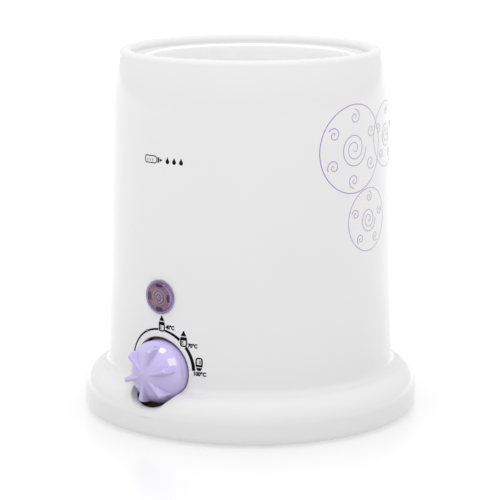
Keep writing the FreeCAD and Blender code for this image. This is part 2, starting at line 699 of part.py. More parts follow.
# ---- Terminals and leads -----------------------------------------------------------------------
def terminal_block():
    """Three-pole block on the base plate, with walls between its poles."""
    low_y = BLOCK_Y - 8
    high_y = BLOCK_Y + 8
    body = block((-13.5, low_y, BASE_TOP), (13.5, high_y, 16.0))
    cuts = [block((x - 2.6, y0, 13.6), (x + 2.6, y1, 17)) for x in POLE_X
            for y0, y1 in ((low_y, BLOCK_Y - 1.2), (BLOCK_Y + 1.2, high_y))]
    cuts += [Part.makeCylinder(3.0, 16.0, V(x, low_y, SLEEVE_Z), BACK) for x in POLE_X]
    cuts += [post(1.9, x, y, SLEEVE_Z, 17) for x in POLE_X for y in (BLOCK_Y - 4, BLOCK_Y + 4)]
    cuts += [post(1.3, x, BLOCK_Y, 3, 17) for x in BLOCK_SCREWS_X]
    cuts += [post(2.5, x, BLOCK_Y, 13.0, 17) for x in BLOCK_SCREWS_X]
    for item in cuts:
        body = body.cut(item)
    return body


def terminal_sleeves():
    tube = Part.makeCylinder(2.95, 13.0, V(0, -6.5, 0), BACK)
    tube = tube.cut(Part.makeCylinder(1.6, 13.0, V(0, -6.5, 0), BACK))
    tube = tube.cut(Part.makeCompound([post(1.35, 0, y, 0, 5) for y in (-4, 4)]))
    return copies(tube, [(x, BLOCK_Y, SLEEVE_Z) for x in POLE_X])


def turned_over(shape):
    copy = shape.copy()
    copy.rotate(ORIGIN, RIGHT, 180)
    return copy


def terminal_screws():
    one = turned_over(screw(1.8, 1.2, 1.32, 3.4))
    return copies(one, [(x, BLOCK_Y + y, 13.8) for x in POLE_X for y in (-4, 4)])


def block_screws():
    return copies(turned_over(screw(2.3, 1.5, 1.2, 11.0)), [(x, BLOCK_Y, 13.0) for x in BLOCK_SCREWS_X])


def receptacle(branch):
    """Sleeved push-on connector along +Z: mouth at z = 0, lead out of the top, a thin branch beside it."""
    sleeve = turned([(0, 0), (4.3, 0), (4.3, 6.5), (2.2, 9.5), (0, 9.5)])
    flat = sleeve.common(block((-5, -1.6, 0), (5, 1.6, 10)))
    slot = block((-3.2, -TAB / 2, 0), (3.2, TAB / 2, 8.1))
    flat = flat.cut(slot).cut(post(LEAD_R, 0, 0, 8.1, 9.5))
    return flat.cut(post(THIN_LEAD_R, BRANCH_Y, 0, 7.9, 9.5)) if branch else flat


def spade_connectors():
    """Four receptacles: two on the heater's tabs, two on the thermostat's tabs."""
    down = turned_over(receptacle(True))
    down.rotate(ORIGIN, UP, 90)
    items = copies(down, [(side * HEATER_TAB_X, 0, HEATER_LOW - 0.1) for side in (-1, 1)]).Solids
    for side, distance in ((-1, STRIP_FRONT - 0.2), (1, BIMETAL_FRONT - TAB / 2)):
        item = receptacle(False)
        item.rotate(ORIGIN, UP, 90)
        item.rotate(ORIGIN, BACK, side * 90)
        item.translate(V(side * 9.0, 0, distance))
        items.append(to_front(item, STACK_Z))
    return Part.makeCompound(items)


def live_lead():
    return lead([(POLE_X[0], 37, SLEEVE_Z), (-9, 22, SLEEVE_Z), (-17, 2, 11), (-27, -17, 20), (-31, -32, 33),
                 (-24, -40, STACK_Z), (-17.1, -40, STACK_Z)], LEAD_R)


def heater_lead():
    return lead([(17.1, -36.4, STACK_Z), (24, -36.4, STACK_Z), (30, -26, 38), (24, -10, 34), (15, -1, 36),
                 (14, 0, 42), (14, 0, 49.8)], LEAD_R)


def fuse_lead():
    return lead([(-14, 0, 49.8), (-14, 0, 42), (-17, 4, 37), (-23, 12, 42), (-22, 15, 52), (-15, 15, 56),
                 (-9.5, 15, 56)], LEAD_R)


def neutral_lead():
    return lead([(9.5, 15, 56), (15, 15, 56), (21, 16, 50), (23, 15, 34), (18, 10, 18), (10, 15, 9.8),
                 (9, 24, SLEEVE_Z), (9, 37, SLEEVE_Z)], LEAD_R)


def earth_lead():
    direction = math.radians(EARTH_ANGLE)
    tag_z = CLAMP_TOP - SHEET - TAB - 0.8
    barrel = [(reach * math.cos(direction), reach * math.sin(direction), tag_z) for reach in (30.0, 22.0)]
    to_block = [(-6, 14, 46), (-8, 8, 30), (-5, 10, 15), (0, 22, SLEEVE_Z), (0, 37, SLEEVE_Z)]
    return lead(barrel + to_block, LEAD_R)


def lamp_leads():
    """Two thin leads from the lamp holder to the heater's receptacles."""
    left = lead([(-1.2, -49.0, LAMP_Z), (-1.2, -45.0, LAMP_Z), LAMP_RUN[0], LAMP_RUN[1], (-14, -6, 43),
                 (-14, BRANCH_Y, 46), (-14, BRANCH_Y, 49.9)], THIN_LEAD_R)
    right = lead([(1.2, -49.0, LAMP_Z), (1.2, -45.0, LAMP_Z), (3, -36, 51), (9, -17, 46), (14, -6, 43),
                  (14, BRANCH_Y, 46), (14, BRANCH_Y, 49.9)], THIN_LEAD_R)
    return Part.makeCompound([left, right])


def lamp_resistor():
    """Series resistor in its sleeve, threaded on the straight run of the lamp's left lead."""
    low = V(*LAMP_RUN[0])
    direction = (V(*LAMP_RUN[1]) - low).normalize()
    start = low + direction * 5.0
    sleeve = Part.makeCylinder(1.7, 9.0, start, direction)
    return sleeve.cut(Part.makeCylinder(THIN_LEAD_R + 0.02, 9.0, start, direction))


# ---- Assembly ----------------------------------------------------------------------------------
shell = outer_shell()
nodes = {
    "outer_shell": shell,
    "inner_bowl": inner_bowl(),
    "rim_seal": rim_seal(),
    "bowl_screws": bowl_screws(),
    "heating_plate": heating_plate(),
    "plate_seal": plate_seal(),
    "plate_clamp_ring": plate_clamp_ring(),
    "ring_screws": ring_screws(),
    "bracket_screw": clamp_screw(SHEET, BRACKET_ANGLE),
    "earth_screw": clamp_screw(TAB, EARTH_ANGLE),
    "earth_tag": earth_tag(),
    "heater_element": heater_element(),
    "heater_clamp": heater_clamp(),
    "heater_nut": heater_nut(),
    "thermal_fuse": thermal_fuse(),
    "fuse_clip": fuse_clip(),
    "fuse_clip_screws": fuse_clip_screws(),
    "mounting_board": mounting_board(),
    "board_screws": board_screws(),
    "thermostat_frame": thermostat_frame(),
    "thermostat_bush": thermostat_bush(),
    "spindle_nut": spindle_nut(),
    "spindle": spindle(),
    "push_pin": push_pin(),
    "insulator_blocks": insulator_blocks(),
    "stack_rivet": stack_rivet(),
    "blade_terminal": blade_terminal(),
    "contact_blade": contact_blade(),
    "bimetal_strip": bimetal_strip(),
    "control_knob": control_knob(),
    "knob_spring_clip": knob_spring_clip(),
    "indicator_lens": indicator_lens(shell),
    "lamp_holder": lamp_holder(),
    "neon_bulb": neon_bulb(),
    "lamp_resistor": lamp_resistor(),
    "terminal_block": terminal_block(),
    "terminal_sleeves": terminal_sleeves(),
    "terminal_screws": terminal_screws(),
    "block_screws": block_screws(),
    "spade_connectors": spade_connectors(),
    "live_lead": live_lead(),
    "heater_lead": heater_lead(),
    "fuse_lead": fuse_lead(),
    "neutral_lead": neutral_lead(),
    "earth_lead": earth_lead(),
    "lamp_leads": lamp_leads(),
    "cord_bush": cord_bush(),
    "base_plate": base_plate(),
    "base_screws": base_screws(),
    "rubber_feet": rubber_feet(),
}

os.makedirs("parts", exist_ok=True)
for name, shape in nodes.items():
    shape.exportStep("parts/" + name + ".step")
    print(name, len(shape.Solids), "solids", round(shape.Volume, 1), "mm3, valid:", shape.isValid())
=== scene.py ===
import math

import bmesh
import bpy
from mathutils import Matrix, Vector


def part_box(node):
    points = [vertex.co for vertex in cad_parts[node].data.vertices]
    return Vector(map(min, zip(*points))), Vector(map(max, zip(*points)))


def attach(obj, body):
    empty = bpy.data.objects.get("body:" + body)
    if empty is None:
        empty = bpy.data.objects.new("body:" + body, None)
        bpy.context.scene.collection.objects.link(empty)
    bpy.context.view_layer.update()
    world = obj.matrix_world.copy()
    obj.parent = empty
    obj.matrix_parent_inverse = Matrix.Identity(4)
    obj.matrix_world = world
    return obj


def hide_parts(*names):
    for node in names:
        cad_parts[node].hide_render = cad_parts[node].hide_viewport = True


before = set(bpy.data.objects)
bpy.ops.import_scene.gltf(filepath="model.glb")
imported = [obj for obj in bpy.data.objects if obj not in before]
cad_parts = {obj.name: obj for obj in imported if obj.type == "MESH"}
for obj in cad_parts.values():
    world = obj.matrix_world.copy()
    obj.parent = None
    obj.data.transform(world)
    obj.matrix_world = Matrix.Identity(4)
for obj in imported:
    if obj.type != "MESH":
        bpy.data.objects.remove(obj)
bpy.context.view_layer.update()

# Lengths in this script are millimetres on the frame's own origin and axes.
MM = 0.001


def low(node):
    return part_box(node)[0] / MM


def high(node):
    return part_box(node)[1] / MM


def middle(node):
    return (low(node) + high(node)) / 2


# ---- Sizes, from the frame where it has them ---------------------------------------------------
HEIGHT = high("outer_shell").z
FOOT_GAP = low("outer_shell").z
FLANGE_R = high("outer_shell").x
WALL = 2.4                # thickness of the shell
KNOB_Z = middle("control_knob").z
KNOB_R = high("control_knob").x
KNOB_APEX = -low("control_knob").y
KNOB_BACK = -high("control_knob").y
KNOB_EDGE = KNOB_APEX - 8.0   # where the knob's dome meets its skirt
LAMP_Z = middle("indicator_lens").z
LAMP_R = high("indicator_lens").x
LAMP_APEX = -low("indicator_lens").y
LENS_BACK = 58.0          # where the clear cap ends and its moulded back starts
LENS_RINGS_R = 3.15       # the ringed middle of that back
LENS_HOLE_R = 5.6         # the wall's hole for the lens
OPENING_Z = KNOB_Z + 0.55
OPENING_R = KNOB_R + 0.75
OPENING_R_OUT = KNOB_R + 0.9
OPENING_BORE = 57.9       # the knob opening is straight up to here, counted from the part's axis
LIP_ROUND = 3.4           # rounding of the knob opening's lip
LIP_FACE = FLANGE_R - 0.2
PAST_SHELL = 75           # clear of the shell, where a cutting tool ends
ENTRY_Z = middle("cord_bush").z
ENTRY_HOLE_R = 4.05
PAD_R = 5.9               # flat pad round the cord's entry
PAD_FACE = 66.2
BOWL_LIP_Z = high("inner_bowl").z
BOWL_FLOOR_Z = high("heating_plate").z + 0.2
INK = 0.05                # how far the printing stands on the surface
SLIVER = 0.001            # shorter edges and thinner faces are closed up
ON_AXIS = 1e-6            # a smaller radius is a point on the axis
WAVE_PERIOD = math.pi / 10   # a wave texture's spacing at scale 1


# ---- Mesh helpers ------------------------------------------------------------------------------
def mesh_object(name, points, faces):
    """Object from points in millimetres, with outward normals."""
    mesh = bpy.data.meshes.new(name)
    mesh.from_pydata([Vector(p) * MM for p in points], [], faces)
    obj = bpy.data.objects.new(name, mesh)
    bpy.context.scene.collection.objects.link(obj)
    work = bmesh.new()
    work.from_mesh(mesh)
    bmesh.ops.recalc_face_normals(work, faces=work.faces)
    work.to_mesh(mesh)
    work.free()
    return obj


def smooth(obj, degrees=32):
    """Smooth shading, with edges sharper than an angle kept."""
    mesh = obj.data
    mesh.polygons.foreach_set("use_smooth", [True] * len(mesh.polygons))
    mesh.set_sharp_from_angle(angle=math.radians(degrees))
    return obj


def applied(obj):
    """Bakes the object's modifiers into its mesh."""
    graph = bpy.context.evaluated_depsgraph_get()
    mesh = bpy.data.meshes.new_from_object(obj.evaluated_get(graph))
    obj.modifiers.clear()
    obj.data = mesh
    return obj


def without_slivers(obj):
    """Closes the flat or very thin faces that a cut leaves."""
    work = bmesh.new()
    work.from_mesh(obj.data)
    bmesh.ops.dissolve_degenerate(work, dist=SLIVER * MM, edges=work.edges)
    work.to_mesh(obj.data)
    work.free()
    return obj


def add_boolean(obj, tool, operation):
    modifier = obj.modifiers.new(tool.name, "BOOLEAN")
    modifier.operation = operation
    modifier.solver = "EXACT"
    modifier.object = tool


def cut(obj, *tools):
    """Takes the tools' volumes out of the object."""
    for tool in tools:
        add_boolean(obj, tool, "DIFFERENCE")
    applied(obj)
    for tool in tools:
        bpy.data.objects.remove(tool)
    return without_slivers(obj)


def joined(name, objects):
    """One object from several."""
    work = bmesh.new()
    for item in objects:
        work.from_mesh(item.data)
        bpy.data.objects.remove(item)
    mesh = bpy.data.meshes.new(name)
    work.to_mesh(mesh)
    work.free()
    obj = bpy.data.objects.new(name, mesh)
    bpy.context.scene.collection.objects.link(obj)
    return obj


def wrapped(angle):
    """The same angle, between minus and plus half a turn."""
    return math.atan2(math.sin(angle), math.cos(angle))


def arc_points(a, through, b, step):
    """Points after a, up to b, on the circle through three points, about one step apart."""
    ax, ay = through[0] - a[0], through[1] - a[1]
    bx, by = b[0] - a[0], b[1] - a[1]
    cross = 2 * (ax * by - ay * bx)
    la, lb = ax * ax + ay * ay, bx * bx + by * by
    cx, cy = a[0] + (by * la - ay * lb) / cross, a[1] + (ax * lb - bx * la) / cross
    radius = math.hypot(a[0] - cx, a[1] - cy)
    start = math.atan2(a[1] - cy, a[0] - cx)
    turn = wrapped(math.atan2(b[1] - cy, b[0] - cx) - start)
    way = wrapped(math.atan2(through[1] - cy, through[0] - cx) - start)
    if way * turn < 0 or abs(way) > abs(turn):
        turn -= math.copysign(2 * math.pi, turn)
    count = max(3, math.ceil(abs(turn) * radius / step))
    angles = [start + turn * k / count for k in range(1, count + 1)]
    return [(cx + radius * math.cos(angle), cy + radius * math.sin(angle)) for angle in angles]


def outline(steps, line_step, arc_step, closed=True):
    """Points along an outline. A step is a point, or a pair of points: an arc through one to the other."""
    points = [steps[0]]
    for step in steps[1:] + ([steps[0]] if closed else []):
        if isinstance(step[0], tuple):
            points += arc_points(points[-1], step[0], step[1], arc_step)
            continue
        x, y = points[-1]
        dx, dy = step[0] - x, step[1] - y
        count = max(1, math.ceil(math.hypot(dx, dy) / line_step))
        points += [(x + dx * k / count, y + dy * k / count) for k in range(1, count + 1)]
    return points[:-1] if closed else points


def lathe(name, points, segments, closed=True):
    """Surface turned about Z from (radius, height) points. A point on the axis becomes one vertex."""
    rows = []
    verts = []
    for radius, height in points:
        if radius < ON_AXIS:
            rows.append([len(verts)] * segments)
            verts.append((0, 0, height))
            continue
        rows.append(list(range(len(verts), len(verts) + segments)))
        for k in range(segments):
            angle = 2 * math.pi * k / segments
            verts.append((radius * math.cos(angle), radius * math.sin(angle), height))
    faces = []
    pairs = list(zip(rows, rows[1:]))
    if closed:
        pairs.append((rows[-1], rows[0]))
    for one, two in pairs:
        for k in range(segments):
            n = (k + 1) % segments
            corners = list(dict.fromkeys([one[k], one[n], two[n], two[k]]))
            if len(corners) > 2:
                faces.append(corners)
    return mesh_object(name, verts, faces)


def turned(obj, degrees, height):
    """Turns an object about X and lifts it to a height."""
    turn = Matrix.Rotation(math.radians(degrees), 4, "X")
    obj.data.transform(Matrix.Translation((0, 0, height * MM)) @ turn)
    return obj


def to_front(obj, height):
    """Points an object made along +Z to the front (-Y), at a height."""
    return turned(obj, 90, height)


def to_back(obj, height):
    """Points an object made along +Z to the back (+Y), at a height."""
    return turned(obj, -90, height)


def finish_piece(obj, body, finish, slot_name, *stands_for):
    """Gives a piece its finish, the CAD nodes it stands for and the body it rides on. slot_name is not
    used.
    """
    obj.data.materials.clear()
    obj.data.materials.append(finish)
    if stands_for:
        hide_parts(*stands_for)
    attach(obj, body)
    return obj


# ---- Materials ---------------------------------------------------------------------------------
def node(tree, kind, **settings):
    """New shader node. A setting is one of its sockets, or else one of its properties."""
    made = tree.nodes.new(kind)
    for key, value in settings.items():
        if key in made.inputs:
            made.inputs[key].default_value = value
        else:
            setattr(made, key, value)
    return made


def noise(tree, coords, size_mm, detail=3.0, roughness=0.55):
    made = node(tree, "ShaderNodeTexNoise", Scale=1 / (size_mm * MM), Detail=detail, Roughness=roughness)
    tree.links.new(coords, made.inputs["Vector"])
    return made.outputs["Fac"]


def spread(tree, value, low_out, high_out, low_in=0.3, high_in=0.7):
    """Maps a value from one range onto another."""
    made = tree.nodes.new("ShaderNodeMapRange")
    for index, number in ((1, low_in), (2, high_in), (3, low_out), (4, high_out)):
        made.inputs[index].default_value = number
    tree.links.new(value, made.inputs[0])
    return made.outputs[0]


def material(name, colour, rough, vary=0.02, cloud_mm=30.0, grain_mm=0.6, bump_mm=0.004, edge_mm=0.0,
             **sockets):
    """Moulded or metal surface: clouded colour, uneven gloss, a fine grain and softened edges."""
    made = bpy.data.materials.new(name)
    made.use_nodes = True
    tree = made.node_tree
    shader = tree.nodes["Principled BSDF"]
    for key, value in sockets.items():
        shader.inputs[key.replace("_", " ")].default_value = value
    coords = tree.nodes.new("ShaderNodeTexCoord").outputs["Object"]
    ramp = tree.nodes.new("ShaderNodeValToRGB")
    ramp.color_ramp.elements[0].position = 0.3
    ramp.color_ramp.elements[1].position = 0.7
    ramp.color_ramp.elements[0].color = [c * (1 - vary) for c in colour] + [1]
    ramp.color_ramp.elements[1].color = [min(1, c * (1 + vary)) for c in colour] + [1]
    tree.links.new(noise(tree, coords, cloud_mm), ramp.inputs["Fac"])
    tree.links.new(ramp.outputs["Color"], shader.inputs["Base Color"])
    gloss = spread(tree, noise(tree, coords, cloud_mm / 3, 4.0), rough * 0.85, rough * 1.2)
    tree.links.new(gloss, shader.inputs["Roughness"])
    bump = node(tree, "ShaderNodeBump", Strength=0.6, Distance=bump_mm * MM)
    tree.links.new(noise(tree, coords, grain_mm, 2.0), bump.inputs["Height"])
    if edge_mm:
        edge = node(tree, "ShaderNodeBevel", samples=4, Radius=edge_mm * MM)
        tree.links.new(edge.outputs["Normal"], bump.inputs["Normal"])
    tree.links.new(bump.outputs["Normal"], shader.inputs["Normal"])
    return made


def turned_metal(name, colour, rough, scale_mm):
    """Metal with fine circular tool marks about the vertical axis, WAVE_PERIOD times scale_mm apart."""
    made = material(name, colour, rough, vary=0.05, cloud_mm=12.0, Metallic=1.0)
    tree = made.node_tree
    coords = tree.nodes["Texture Coordinate"].outputs["Object"]
    wave = node(tree, "ShaderNodeTexWave", wave_type="RINGS", rings_direction="Z",
                Scale=1 / (scale_mm * MM), Distortion=0.6, Detail=3.0)
    tree.links.new(coords, wave.inputs["Vector"])
    bump = node(tree, "ShaderNodeBump", Strength=0.5, Distance=0.004 * MM)
    tree.links.new(wave.outputs["Fac"], bump.inputs["Height"])
    tree.links.new(tree.nodes["Bump"].outputs["Normal"], bump.inputs["Normal"])
    tree.links.new(bump.outputs["Normal"], tree.nodes["Principled BSDF"].inputs["Normal"])
    return made


WHITE = (0.735, 0.735, 0.735)
shell_plastic = material("shell_plastic", WHITE, 0.14, vary=0.008, cloud_mm=60.0, grain_mm=1.6,
                         bump_mm=0.003, edge_mm=0.5, Coat_Weight=0.3, Coat_Roughness=0.06)
# Whiter than the shell's own white: painted light inside the deep well.
bowl_plastic_painted_light = material("bowl_plastic_painted_light", (0.97, 0.97, 0.97), 0.18, vary=0.01, cloud_mm=40.0, grain_mm=1.2)
knob_plastic = material("knob_plastic", (0.415, 0.37, 0.61), 0.09, vary=0.015, cloud_mm=8.0, grain_mm=0.5,
                        bump_mm=0.002, Subsurface_Weight=0.05, Subsurface_Scale=0.001, Coat_Weight=0.4,
                        Coat_Roughness=0.05)
base_plastic = material("base_plastic", (0.70, 0.70, 0.71), 0.42, vary=0.02, grain_mm=0.35, bump_mm=0.02)
silicone = material("silicone", (0.72, 0.71, 0.67), 0.45, vary=0.03, cloud_mm=6.0, Subsurface_Weight=0.2,
                    Subsurface_Scale=0.002)
foot_rubber = material("foot_rubber", (0.16, 0.16, 0.165), 0.65, vary=0.08, cloud_mm=4.0, grain_mm=0.25,
                       bump_mm=0.02)
bush_rubber = material("bush_rubber", (0.60, 0.60, 0.61), 0.55, vary=0.04, cloud_mm=4.0, grain_mm=0.25,
                       bump_mm=0.012)
zinc = material("zinc", (0.62, 0.62, 0.64), 0.32, vary=0.08, cloud_mm=2.0, grain_mm=0.2, Metallic=1.0)
galvanised = material("galvanised", (0.55, 0.56, 0.58), 0.38, vary=0.14, cloud_mm=5.0, grain_mm=0.5,
                      Metallic=1.0)
blued_steel = material("blued_steel", (0.20, 0.20, 0.23), 0.3, vary=0.1, cloud_mm=3.0, Metallic=1.0)
tinned = material("tinned", (0.70, 0.69, 0.65), 0.3, vary=0.06, cloud_mm=2.0, Metallic=1.0)
cast_case = material("cast_case", (0.50, 0.50, 0.52), 0.5, vary=0.1, cloud_mm=4.0, grain_mm=0.4,
                     bump_mm=0.03, Metallic=1.0)
sheet_aluminium = material("sheet_aluminium", (0.72, 0.72, 0.74), 0.34, vary=0.05, cloud_mm=6.0,
                           Metallic=1.0)
brass = material("brass", (0.62, 0.45, 0.16), 0.28, vary=0.08, cloud_mm=3.0, Metallic=1.0)
bronze = material("bronze", (0.58, 0.34, 0.17), 0.3, vary=0.08, cloud_mm=3.0, Metallic=1.0)
bimetal = material("bimetal", (0.40, 0.36, 0.31), 0.35, vary=0.12, cloud_mm=4.0, Metallic=1.0)
ceramic = material("ceramic", (0.74, 0.70, 0.62), 0.6, vary=0.05, cloud_mm=3.0, grain_mm=0.2, bump_mm=0.01)
# Paler than phenolic board's own dark brown: painted light on the board, which lies in deep shade behind
# the knob opening.
phenolic = material("phenolic", (0.68, 0.38, 0.15), 0.4, vary=0.25, cloud_mm=2.5, grain_mm=0.5,
                    bump_mm=0.01)
nylon = material("nylon", (0.70, 0.69, 0.64), 0.4, vary=0.03, cloud_mm=6.0, Subsurface_Weight=0.15,
                 Subsurface_Scale=0.002)
sleeve = material("sleeve", (0.62, 0.62, 0.57), 0.35, vary=0.04, cloud_mm=4.0)
shrink = material("shrink", (0.07, 0.07, 0.072), 0.45, vary=0.1, cloud_mm=2.0)
plate_metal = turned_metal("plate_metal", (0.62, 0.62, 0.63), 0.26, 0.8)
spindle_metal = turned_metal("spindle_metal", (0.48, 0.48, 0.50), 0.3, 0.4)
black_ink = material("black_ink", (0.003, 0.003, 0.0035), 0.5, vary=0.3, cloud_mm=1.0, grain_mm=0.15,
                     bump_mm=0.003, Specular_IOR_Level=0.06)
lead_finish = {
    "brown": material("lead_brown", (0.10, 0.035, 0.012), 0.5, vary=0.08, cloud_mm=3.0),
    "blue": material("lead_blue", (0.01, 0.06, 0.26), 0.5, vary=0.08, cloud_mm=3.0),
    "green": material("lead_green", (0.06, 0.24, 0.02), 0.5, vary=0.08, cloud_mm=3.0),
    "white": material("lead_white", (0.70, 0.70, 0.69), 0.5, vary=0.03, cloud_mm=3.0),
}


def clear_material(name, colour, rough, ior, **sockets):
    """Clear plastic or glass."""
    return material(name, colour, rough, vary=0.04, cloud_mm=4.0, bump_mm=0.001, Transmission_Weight=1.0,
                    IOR=ior, **sockets)


def ring_painted_plastic(name, painted_highlight, painted_shade, pitch_mm, centre_z):
    """Rings about the lamp's axis, painted pale and deep in turn: painted highlights on their crests and
    painted shade between them.
    """
    made = material(name, painted_highlight, 0.15, cloud_mm=1.0, bump_mm=0.002)
    tree = made.node_tree
    place = node(tree, "ShaderNodeMapping", Location=(0, 0, -centre_z * MM))
    tree.links.new(tree.nodes["Texture Coordinate"].outputs["Object"], place.inputs["Vector"])
    wave = node(tree, "ShaderNodeTexWave", wave_type="RINGS", rings_direction="Y",
                Scale=WAVE_PERIOD / (pitch_mm * MM), Distortion=0.8, Detail=2.0)
    tree.links.new(place.outputs["Vector"], wave.inputs["Vector"])
    # Pale rings are painted highlights and deep rings are painted shade.
    ramp = tree.nodes["Color Ramp"]
    ramp.color_ramp.elements[0].position = 0.25
    ramp.color_ramp.elements[0].color = (*painted_shade, 1)
    ramp.color_ramp.elements[1].color = (*painted_highlight, 1)
    tree.links.new(wave.outputs["Fac"], ramp.inputs["Fac"])
    return made


lens_plastic = clear_material("lens_plastic", (0.68, 0.46, 0.98), 0.04, 1.49, Specular_IOR_Level=0.25)
lens_middle_painted_shading = ring_painted_plastic("lens_middle_painted_shading", (1.0, 1.0, 0.80), (0.46, 0.38, 0.27), 1.15, LAMP_Z)
lens_back = material("lens_back", (0.47, 0.34, 0.24), 0.2, vary=0.25, cloud_mm=1.5, bump_mm=0.002)
lens_dark = material("lens_dark", (0.030, 0.004, 0.050), 0.3, vary=0.1, cloud_mm=1.5, bump_mm=0.002,
                     Specular_IOR_Level=0.2)
bulb_glass = clear_material("bulb_glass", (0.95, 0.90, 0.86), 0.03, 1.5)


def ornament_ink():
    """Print that runs from purple at one side to pale grey at the other."""
    made = material("ornament_ink", (0.4, 0.4, 0.4), 0.3, cloud_mm=3.0, grain_mm=0.3)
    tree = made.node_tree
    split = tree.nodes.new("ShaderNodeSeparateXYZ")
    tree.links.new(tree.nodes["Texture Coordinate"].outputs["Object"], split.inputs[0])
    along = spread(tree, split.outputs["Y"], 0.0, 1.0, low_in=-24 * MM, high_in=14 * MM)
    ramp = tree.nodes["Color Ramp"]
    ramp.color_ramp.elements[0].position = 0.0
    ramp.color_ramp.elements[0].color = (0.24, 0.10, 0.52, 1)
    ramp.color_ramp.elements[1].position = 1.0
    ramp.color_ramp.elements[1].color = (0.46, 0.44, 0.46, 1)
    between = ramp.color_ramp.elements.new(0.45)
    between.color = (0.33, 0.25, 0.44, 1)
    tree.links.new(along, ramp.inputs["Fac"])
    return made


# ---- Outer shell -------------------------------------------------------------------------------
def shell_steps():
    """Section of the shell: outside from the foot up, over the rim, down inside and back."""
    side_top = FOOT_GAP + 7.9
    flange_arc = 9.8
    root_arc = 3.1
    wall_r = FLANGE_R - 10.1
    turn_r = wall_r - 2.0
    centre_r = FLANGE_R - flange_arc
    root_r = wall_r + root_arc
    rise = math.sqrt((flange_arc + root_arc) ** 2 - (root_r - centre_r) ** 2)
    lean = math.atan2(rise, root_r - centre_r)
    root_z = side_top + rise

    def on_flange(radius, angle):
        return (centre_r + radius * math.cos(angle), side_top + radius * math.sin(angle))

    def in_root(radius, angle):
        return (root_r - radius * math.cos(angle), root_z - radius * math.sin(angle))

    edge = 2.3
    corner = edge * (1 - math.sqrt(0.5))
    skirt = FLANGE_R - WALL
    rebate = skirt - 0.7
    turn_z = HEIGHT - 24.8
    ledge_z = HEIGHT - 6.0
    outside = [
        (FLANGE_R - edge, FOOT_GAP),
        ((FLANGE_R - corner, FOOT_GAP + corner), (FLANGE_R, FOOT_GAP + edge)),
        (FLANGE_R, side_top),
        (on_flange(flange_arc, lean / 2), on_flange(flange_arc, lean)),
        (in_root(root_arc, lean / 2), (wall_r, root_z)),
        (turn_r, turn_z),
        ((55.0, HEIGHT - 13.3), (52.85, HEIGHT - 2.4)),
        ((52.1, HEIGHT - 0.7), (50.35, HEIGHT)),
    ]
    inside = [
        ((48.4, HEIGHT - 0.8), (47.5, HEIGHT - 2.6)),
        (47.5, HEIGHT - 3.0),
        ((47.2, HEIGHT - 3.6), (46.6, HEIGHT - 3.8)),
        (43.7, HEIGHT - 3.8),
        ((43.35, HEIGHT - 3.95), (43.2, HEIGHT - 4.3)),
        (43.2, ledge_z),
        (51.3, ledge_z),
        ((52.7, HEIGHT - 14.7), (turn_r - WALL, turn_z)),
        (wall_r - WALL, root_z),
        (in_root(root_arc + WALL, lean / 2), in_root(root_arc + WALL, lean)),
        (on_flange(flange_arc - WALL, lean / 2), (skirt, side_top)),
        (skirt, FOOT_GAP + 3.6),
        (rebate, FOOT_GAP + 2.6),
        (rebate, FOOT_GAP),
    ]
    return outside, inside


def shell_profile():
    """(height, radius) pairs of the outside, from the foot up."""
    outside, _ = shell_steps()
    return [(z, r) for r, z in outline(outside, 1.5, 0.5, closed=False)]


SHELL_PROFILE = shell_profile()


def shell_radius(height):
    """Outside radius of the shell at a height."""
    for (z0, r0), (z1, r1) in zip(SHELL_PROFILE, SHELL_PROFILE[1:]):
        if z0 <= height <= z1 and z1 > z0:
            return r0 + (r1 - r0) * (height - z0) / (z1 - z0)
    return SHELL_PROFILE[-1][1]


def knob_opening():
    """Tool for the knob's opening: a straight bore, a slight taper and a rounded lip."""
    lip_45 = LIP_ROUND * (1 - math.sqrt(0.5))
    lip_r = OPENING_R_OUT + LIP_ROUND
    steps = [
        (0, KNOB_BACK - 5),
        (OPENING_R, KNOB_BACK - 5),
        (OPENING_R, OPENING_BORE),
        (OPENING_R_OUT, LIP_FACE - LIP_ROUND),
        ((OPENING_R_OUT + lip_45, LIP_FACE - lip_45), (lip_r, LIP_FACE)),
        (lip_r, PAST_SHELL),
        (0, PAST_SHELL),
    ]
    points = outline(steps, 4.0, 0.35, closed=False)
    return to_front(lathe("knob_opening_tool", points, 160, closed=False), OPENING_Z)


def drill(name, radius, start, stop):
    """Round cutting tool, still along +Z."""
    return lathe(name, [(0, start), (radius, start), (radius, stop), (0, stop)], 96, closed=False)


def outer_shell():
    """Shell with the pad round its cord entry, and its openings cut."""
    outside, inside = shell_steps()
    shell = lathe("shell_body", outline(outside + inside, 2.0, 0.7), 240)
    bevel = 0.3
    pad_steps = [(0, 60.5), (PAD_R, 60.5), (PAD_R, PAD_FACE - bevel), (PAD_R - bevel, PAD_FACE),
                 (0, PAD_FACE)]
    pad = to_back(lathe("pad", pad_steps, 64, closed=False), ENTRY_Z)
    add_boolean(shell, pad, "UNION")
    applied(shell)
    bpy.data.objects.remove(pad)
    lamp = to_front(drill("lamp_tool", LENS_HOLE_R, 50, 60), LAMP_Z)
    seat = to_back(drill("seat_tool", PAD_R + 0.2, PAD_FACE, 72), ENTRY_Z)
    hole = to_back(drill("hole_tool", ENTRY_HOLE_R, 55, 67), ENTRY_Z)
    cut(shell, knob_opening(), lamp, seat, hole)
    return finish_piece(smooth(shell), "housing", shell_plastic, "shell_white", "outer_shell")


